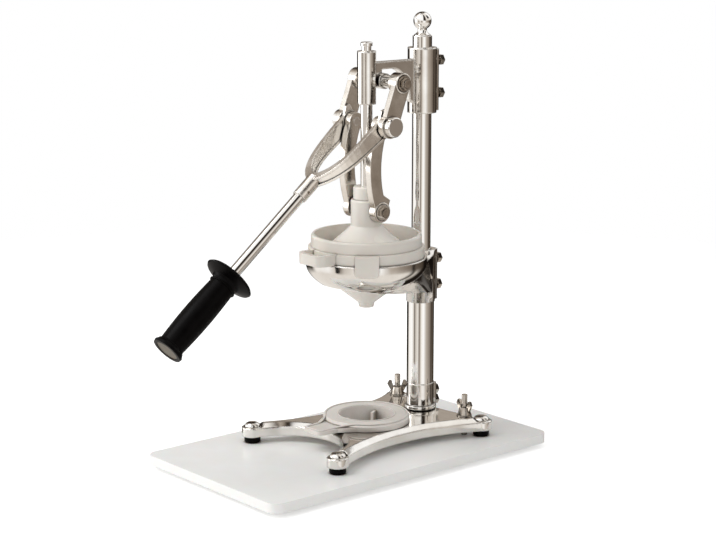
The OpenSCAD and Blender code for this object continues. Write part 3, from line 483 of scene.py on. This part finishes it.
def bead(name, path, across, radius, material, body):
    """A round bead swept along a closed path. Round each point of the path runs a circle:
    the radius times the cosine of a turn in the point's direction across the path, plus
    the radius times its sine in the direction at right angles to path and across."""
    turns = np.linspace(0, 2 * math.pi, BEAD_SIDES, endpoint=False)
    along = np.roll(path, -1, 0) - np.roll(path, 1, 0)
    up = np.cross(along, across)
    up /= np.linalg.norm(up, axis=1)[:, None]
    rows = (path[:, None] + radius * (np.cos(turns)[None, :, None] * across[:, None]
                                      + np.sin(turns)[None, :, None] * up[:, None]))
    ring_surface(name, np.concatenate([rows, rows[:1]]), material, body)


def ring_path(centre, axis, radius):
    """Points on a circle about an axis, and the outward direction at each: the cosine of
    a turn in one direction square to the axis, plus its sine in the other."""
    axis = np.array(axis, float) / np.linalg.norm(axis)
    side = np.cross(axis, (0.0, 0.0, 1.0) if abs(axis[2]) < 0.9 else (1.0, 0.0, 0.0))
    side /= np.linalg.norm(side)
    turns = np.linspace(0, 2 * math.pi, RING_STEPS, endpoint=False)[:, None]
    out = np.cos(turns) * side + np.sin(turns) * np.cross(axis, side)
    return np.array(centre) + radius * out, out


def seat_edge():
    """The seat's edge in plan, set in a little, and the direction across it at each
    point: an arc round the ring, then on each side a cubic curve that leaves the arc
    along its tangent and ends straight down the tongue's side, then a round corner. The
    height falls from the ring's top to the tongue's by a smooth step along the curve."""
    low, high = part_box("jug_seat")
    radius = (high.x - low.x) / 2
    centre_y, top = high.y - radius, high.z
    ring, half = radius - RIM_INSET, TONGUE_HALF - RIM_INSET
    turns = np.linspace(TONGUE_OPENING - math.pi / 2, 1.5 * math.pi - TONGUE_OPENING,
                        RING_POINTS)
    arc = np.column_stack([ring * np.cos(turns), ring * np.sin(turns),
                           np.full(RING_POINTS, top)])
    start = arc[-1, :2]
    heading = np.array([-math.sin(turns[-1]), math.cos(turns[-1])])
    end = np.array([-half, -radius - CURVE_REACH])
    handles = np.array([start, start + RING_HANDLE * heading,
                        end + (0, TONGUE_HANDLE), end])
    # The curve's first point is the arc's last, so the points start a little past it
    t = np.linspace(0.05, 1, CURVE_POINTS)[:, None]
    weights = np.hstack([(1 - t) ** 3, 3 * t * (1 - t) ** 2, 3 * t * t * (1 - t), t ** 3])
    curve = np.hstack([weights @ handles, top - TONGUE_DROP * t * t * (3 - 2 * t)])
    tip = low.y - centre_y + RIM_INSET
    bends = np.linspace(math.pi, 1.5 * math.pi, CORNER_POINTS)
    corner = np.column_stack([CORNER_R - half + CORNER_R * np.cos(bends),
                              tip + CORNER_R + CORNER_R * np.sin(bends),
                              np.full(CORNER_POINTS, top - TONGUE_DROP)])
    left = np.vstack([curve, corner])
    path = np.vstack([arc, left, left[::-1] * (-1, 1, 1)]) + (0, centre_y, 0)
    along = np.roll(path, -1, 0) - np.roll(path, 1, 0)
    across = np.cross(along, (0.0, 0.0, 1.0))
    return path, across / np.linalg.norm(across, axis=1)[:, None]


class PRESS_OT_seat_rims(bpy.types.Operator):
    """Adds the raised rims of the jug seat"""
    bl_idname = "press.seat_rims"
    bl_label = "Seat rims"

    def execute(self, context):
        sizes = context.scene.press_sizes
        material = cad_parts["jug_seat"].data.materials[0]
        path, across = seat_edge()
        bead("seat_edge_rim", path, across, sizes.seat_rim, material, "seat")
        low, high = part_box("jug_seat")
        centre = ((low.x + high.x) / 2, high.y - (high.x - low.x) / 2, high.z)
        path, out = ring_path(centre, (0, 0, 1), HOLE_RIM_R)
        bead("seat_hole_rim", path, out, sizes.hole_rim, material, "seat")
        return {"FINISHED"}


class PRESS_OT_boss_rims(bpy.types.Operator):
    """Adds the rims of the bosses that the linkage's nuts sit in"""
    bl_idname = "press.boss_rims"
    bl_label = "Boss rims"

    def execute(self, context):
        radius = context.scene.press_sizes.boss_rim
        for joint, body, links in (("pivot_", "lever", "upper_link_"),
                                   ("link_", "links", "lower_link_")):
            low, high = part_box(joint + "washers")
            y, z = middle(joint + "washers")[1:]
            for side, x in (("left", low.x + WASHER_THICK),
                            ("right", high.x - WASHER_THICK)):
                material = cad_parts[links + side].data.materials[0]
                path, out = ring_path((x, y, z), (1, 0, 0), BOSS_RIM_R)
                bead(joint + "boss_rim_" + side, path, out, radius, material, body)
        return {"FINISHED"}


class PRESS_OT_stud_threads(bpy.types.Operator):
    """Adds the threads that show on the two hold-down studs"""
    bl_idname = "press.stud_threads"
    bl_label = "Stud threads"

    def execute(self, context):
        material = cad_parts["hold_down_studs"].data.materials[0]
        low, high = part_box("hold_down_studs")
        head = (high.y - low.y) / 2
        turns = np.linspace(0, 2 * math.pi, THREAD_SIDES, endpoint=False)
        # A circle about the stud's axis at every depth below its end, whose radius goes
        # from the root to the crest and back by a cosine, once in each pitch
        depths = np.arange(0, THREAD_LENGTH, THREAD_PITCH / ROWS_PER_PITCH)
        rise = 0.5 - 0.5 * np.cos(2 * math.pi * depths / THREAD_PITCH)
        radii = (THREAD_ROOT_R + (THREAD_CREST_R - THREAD_ROOT_R) * rise)[:, None]
        heights = np.broadcast_to((high.z - THREAD_START - depths)[:, None],
                                  (len(depths), THREAD_SIDES))
        for side, x in (("left", low.x + head), ("right", high.x - head)):
            rows = np.stack([x + radii * np.cos(turns),
                             low.y + head + radii * np.sin(turns), heights], -1)
            ring_surface("stud_thread_" + side, rows, material, "stand")
        return {"FINISHED"}


def handle_line():
    """The middle of the handle's tube and the unit vector towards its grip. The sides of
    the tube's box are its length and width seen at its slope, and a few rounds settle
    the slope from them."""
    low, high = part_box("handle_tube")
    width, size = high.x - low.x, high - low
    slope = math.atan2(size.z, size.y)
    for _ in range(8):
        slope = math.atan2(size.z - width * math.cos(slope), size.y - width * math.sin(slope))
    return np.array((low + high) / 2), np.array((0, -math.cos(slope), -math.sin(slope)))


class PRESS_OT_grip_beads(bpy.types.Operator):
    """Adds the beads at both ends of the hand grip"""
    bl_idname = "press.grip_beads"
    bl_label = "Grip beads"

    def execute(self, context):
        radius = context.scene.press_sizes.grip_bead
        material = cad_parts["hand_grip"].data.materials[0]
        point, along = handle_line()
        low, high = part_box("hand_grip")
        guard_r = (high.x - low.x) / 2
        # The guard is as wide as the grip's box, and its edge is the box's highest place
        guard = (point[2] + guard_r * -along[1] - high.z) / -along[2]
        for name, place in (("grip_guard_bead", guard + GUARD_BEAD),
                            ("grip_end_bead", guard + END_BEAD)):
            path, out = ring_path(point + along * place, along, GRIP_RING_R)
            bead(name, path, out, radius, material, "lever")
        return {"FINISHED"}


# ------------------------------------------------------------------ studio

# What mirror-like surfaces see, by the share of the way round the studio. At eye level
# and a little below it: white screens, with brown-grey room and dark gaps between them
SCREENS = (
    (0.00, "#241d18"), (0.035, "#3a322b"), (0.07, "#f7f4f0"), (0.17, "#ffffff"),
    (0.215, "#d9d3cc"), (0.24, "#5d534a"), (0.27, "#c9c2ba"), (0.325, "#e9e4de"),
    (0.355, "#6b6056"), (0.38, "#b9b0a6"), (0.41, "#f4f1ed"), (0.46, "#ffffff"),
    (0.52, "#b9b0a6"), (0.60, "#8d8379"), (0.65, "#71665c"), (0.668, "#140f0c"),
    (0.69, "#5a5047"), (0.75, "#4a4138"), (0.79, "#120e0b"), (0.97, "#17120e"),
    (1.00, "#241d18"))
# Over them: a pale ceiling with a few dark beams
CEILING = (
    (0.00, "#ffffff"), (0.10, "#f6f3ef"), (0.14, "#7d7268"), (0.17, "#f1ede8"),
    (0.40, "#ffffff"), (0.43, "#2e2620"), (0.495, "#2e2620"), (0.53, "#e3ddd6"),
    (0.62, "#ded8d1"), (0.78, "#fbf9f6"), (0.83, "#5d534a"), (0.86, "#b5aca2"),
    (0.90, "#93897e"), (0.93, "#3a322b"), (0.96, "#3a322b"), (1.00, "#ffffff"))
# Across the ceiling's middle heights: a lintel, with broader dark parts
LINTEL = (
    (0.00, "#8d8379"), (0.05, "#b9b0a6"), (0.09, "#ffffff"), (0.40, "#ffffff"),
    (0.43, "#2e2620"), (0.495, "#2e2620"), (0.53, "#e3ddd6"), (0.57, "#f4f1ed"),
    (0.59, "#241d18"), (0.66, "#241d18"), (0.69, "#ffffff"), (0.82, "#ffffff"),
    (0.85, "#241d18"), (0.94, "#241d18"), (0.97, "#6b6056"), (1.00, "#8d8379"))
# Well below eye level: a pale ground with two dark gaps
GROUND = (
    (0.00, "#e6e1db"), (0.64, "#e6e1db"), (0.68, "#2e2620"), (0.71, "#c9c2ba"),
    (0.76, "#1d1713"), (0.83, "#1d1713"), (0.88, "#e6e1db"), (1.00, "#e6e1db"))

# Heights at which one gives way to the next, as the upward part of a unit vector
CEILING_FROM, CEILING_FULL = 0.0, 0.12
LINTEL_BAND = ((0.34, "#000000"), (0.37, "#ffffff"), (0.78, "#ffffff"), (0.84, "#000000"))
GROUND_FROM, GROUND_FULL = -0.25, -0.45

# How bright the room is in mirrors, the floor's half width, how strongly it glows to the
# camera, and how far from the press it fades out
ROOM_STRENGTH = 1.25
FLOOR_HALF = 4.0
FLOOR_GLOW = 0.46
FLOOR_FADE_FROM, FLOOR_FADE_FULL = 0.6, 1.3

# The lamps' places and widths, and the side lamp's power as a share of the key lamp's
KEY_LAMP_PLACE, KEY_LAMP_SIZE = (-0.5, -1.2, 1.9), 1.2
SIDE_LAMP_PLACE, SIDE_LAMP_SIZE = (-1.6, -1.5, 0.5), 1.0
SIDE_LAMP_SHARE = 0.5


def studio_world(strength):
    """White to the camera, an even light on plain surfaces, and for mirror-like ones a
    room: screens and gaps at eye level, a ceiling with a lintel across it, and a
    ground."""
    world = bpy.data.worlds.new("pale studio")
    bpy.context.scene.world = world
    world.use_nodes = True
    tree = world.node_tree
    tree.nodes.clear()
    rays = put(tree, "ShaderNodeLightPath")
    place = put(tree, "ShaderNodeTexCoord").outputs["Generated"]
    height = put(tree, "ShaderNodeSeparateXYZ", {"Vector": place}).outputs["Z"]
    around = put(tree, "ShaderNodeTexGradient", {"Vector": place},
                 gradient_type="RADIAL").outputs["Fac"]
    screens, ceiling, lintel, ground = (
        put(tree, "ShaderNodeValToRGB", {"Fac": around}, stops=table)
        for table in (SCREENS, CEILING, LINTEL, GROUND))
    raised = put(tree, "ShaderNodeMapRange",
                 {"Value": height, "From Min": CEILING_FROM, "From Max": CEILING_FULL})
    above = put(tree, "ShaderNodeMix", {"Factor": raised, "A": screens, "B": ceiling},
                data_type="RGBA")
    overhead = put(tree, "ShaderNodeValToRGB", {"Fac": height}, stops=LINTEL_BAND)
    shaded = put(tree, "ShaderNodeMix", {"Factor": overhead, "A": above, "B": lintel},
                 data_type="RGBA")
    lowered = put(tree, "ShaderNodeMapRange",
                  {"Value": height, "From Min": GROUND_FROM, "From Max": GROUND_FULL})
    room = put(tree, "ShaderNodeMix", {"Factor": lowered, "A": shaded, "B": ground},
               data_type="RGBA")
    even = put(tree, "ShaderNodeBackground",
               {"Color": linear("#ffffff"), "Strength": strength})
    mirrored = put(tree, "ShaderNodeBackground", {"Color": room, "Strength": ROOM_STRENGTH})
    white = put(tree, "ShaderNodeBackground", {"Color": linear("#ffffff"), "Strength": 1.0})
    lit = put(tree, "ShaderNodeMixShader",
              {"Fac": rays.outputs["Is Glossy Ray"], 1: even, 2: mirrored})
    seen = put(tree, "ShaderNodeMixShader",
               {"Fac": rays.outputs["Is Camera Ray"], 1: lit, 2: white})
    put(tree, "ShaderNodeOutputWorld", {"Surface": seen})


def floor_material():
    """White paper. The eye sees a bare sweep that keeps the press's shadow and fades out
    well behind it. Mirror-like surfaces see the world through it."""
    material, tree = new_material("white paper sweep")
    place = put(tree, "ShaderNodeTexCoord").outputs["Object"]
    rays = put(tree, "ShaderNodeLightPath")
    # Paper's fibres are about 0.05 mm wide, and are drawn as a cloud of 3 mm
    fibre = put(tree, "ShaderNodeTexNoise", {"Vector": place, "Scale": 1 / (3 * MM)})
    tint = put(tree, "ShaderNodeValToRGB", {"Fac": fibre},
               stops=((0.3, "#f4f4f3"), (0.7, "#fbfbfa")))
    glow = put(tree, "ShaderNodeMath",
               {0: rays.outputs["Is Camera Ray"], 1: FLOOR_GLOW}, operation="MULTIPLY")
    paper = put(tree, "ShaderNodeBsdfPrincipled",
                {"Base Color": tint, "Roughness": 0.9, "Specular IOR Level": 0.1,
                 "Emission Color": linear("#ffffff"), "Emission Strength": glow})
    far = put(tree, "ShaderNodeVectorMath", {0: place}, operation="LENGTH")
    faded = put(tree, "ShaderNodeMapRange",
                {"Value": far, "From Min": FLOOR_FADE_FROM, "From Max": FLOOR_FADE_FULL})
    hidden = put(tree, "ShaderNodeMath", {0: faded, 1: rays.outputs["Is Glossy Ray"]},
                 operation="MAXIMUM")
    clear = put(tree, "ShaderNodeBsdfTransparent")
    sweep = put(tree, "ShaderNodeMixShader", {"Fac": hidden, 1: paper, 2: clear})
    put(tree, "ShaderNodeOutputMaterial", {"Surface": sweep})
    return material


def soft_lamp(name, place, aim, size, watts):
    """A square area lamp that points at a place."""
    data = bpy.data.lights.new(name, "AREA")
    data.shape = "SQUARE"
    data.size = size
    data.energy = watts
    lamp = bpy.data.objects.new(name, data)
    bpy.context.scene.collection.objects.link(lamp)
    lamp.location = place
    lamp.rotation_euler = (aim - lamp.location).to_track_quat("-Z", "Y").to_euler()


class PRESS_OT_studio(bpy.types.Operator):
    """Sets up the floor, the light and the camera"""
    bl_idname = "press.studio"
    bl_label = "Studio"

    def execute(self, context):
        scene = context.scene
        studio = scene.press_studio
        studio_world(studio.world_light)
        half = FLOOR_HALF
        mesh = bpy.data.meshes.new("floor")
        mesh.from_pydata([(-half, -half, 0), (half, -half, 0), (half, half, 0),
                          (-half, half, 0)], [], [(0, 1, 2, 3)])
        mesh.materials.append(floor_material())
        floor = bpy.data.objects.new("floor", mesh)
        scene.collection.objects.link(floor)
        aim = middle("column_post")
        soft_lamp("key lamp", KEY_LAMP_PLACE, aim, KEY_LAMP_SIZE, studio.key_power)
        soft_lamp("side lamp", SIDE_LAMP_PLACE, aim, SIDE_LAMP_SIZE,
                  studio.key_power * SIDE_LAMP_SHARE)
        data = bpy.data.cameras.new("camera")
        data.sensor_width = 36
        data.lens = studio.focal_length
        data.clip_start = 0.1
        data.clip_end = 20
        camera = bpy.data.objects.new("camera", data)
        scene.collection.objects.link(camera)
        camera.location = studio.camera_place
        camera.rotation_euler = (math.pi / 2 - studio.camera_tilt, 0, studio.camera_turn)
        scene.camera = camera
        scene.view_settings.view_transform = "Standard"
        return {"FINISHED"}


class PRESS_PT_panel(bpy.types.Panel):
    """Sizes, colours and pieces of the press"""
    bl_idname = "PRESS_PT_panel"
    bl_label = "Lever citrus press"
    bl_space_type = "VIEW_3D"
    bl_region_type = "UI"
    bl_category = "Press"

    def draw(self, context):
        scene, layout = context.scene, self.layout
        for group in (scene.press_sizes, scene.press_colours, scene.press_studio):
            box = layout.box()
            for name in group.__annotations__:
                box.prop(group, name)
        for operator in OPERATORS:
            layout.operator(operator.bl_idname)


GROUPS = (PressSizes, PressColours, StudioSettings)
OPERATORS = (PRESS_OT_finishes, PRESS_OT_bowl_casting, PRESS_OT_seat_rims,
             PRESS_OT_boss_rims, PRESS_OT_stud_threads, PRESS_OT_grip_beads,
             PRESS_OT_studio)


def register():
    for cls in GROUPS + OPERATORS + (PRESS_PT_panel,):
        bpy.utils.register_class(cls)
    bpy.types.Scene.press_sizes = bpy.props.PointerProperty(type=PressSizes)
    bpy.types.Scene.press_colours = bpy.props.PointerProperty(type=PressColours)
    bpy.types.Scene.press_studio = bpy.props.PointerProperty(type=StudioSettings)


def unregister():
    del bpy.types.Scene.press_studio
    del bpy.types.Scene.press_colours
    del bpy.types.Scene.press_sizes
    for cls in (PRESS_PT_panel,) + OPERATORS[::-1] + GROUPS[::-1]:
        bpy.utils.unregister_class(cls)


def main():
    register()
    bpy.ops.press.finishes()
    bpy.ops.press.bowl_casting()
    bpy.ops.press.seat_rims()
    bpy.ops.press.boss_rims()
    bpy.ops.press.stud_threads()
    bpy.ops.press.grip_beads()
    bpy.ops.press.studio()


if __name__ == "__main__":
    main()
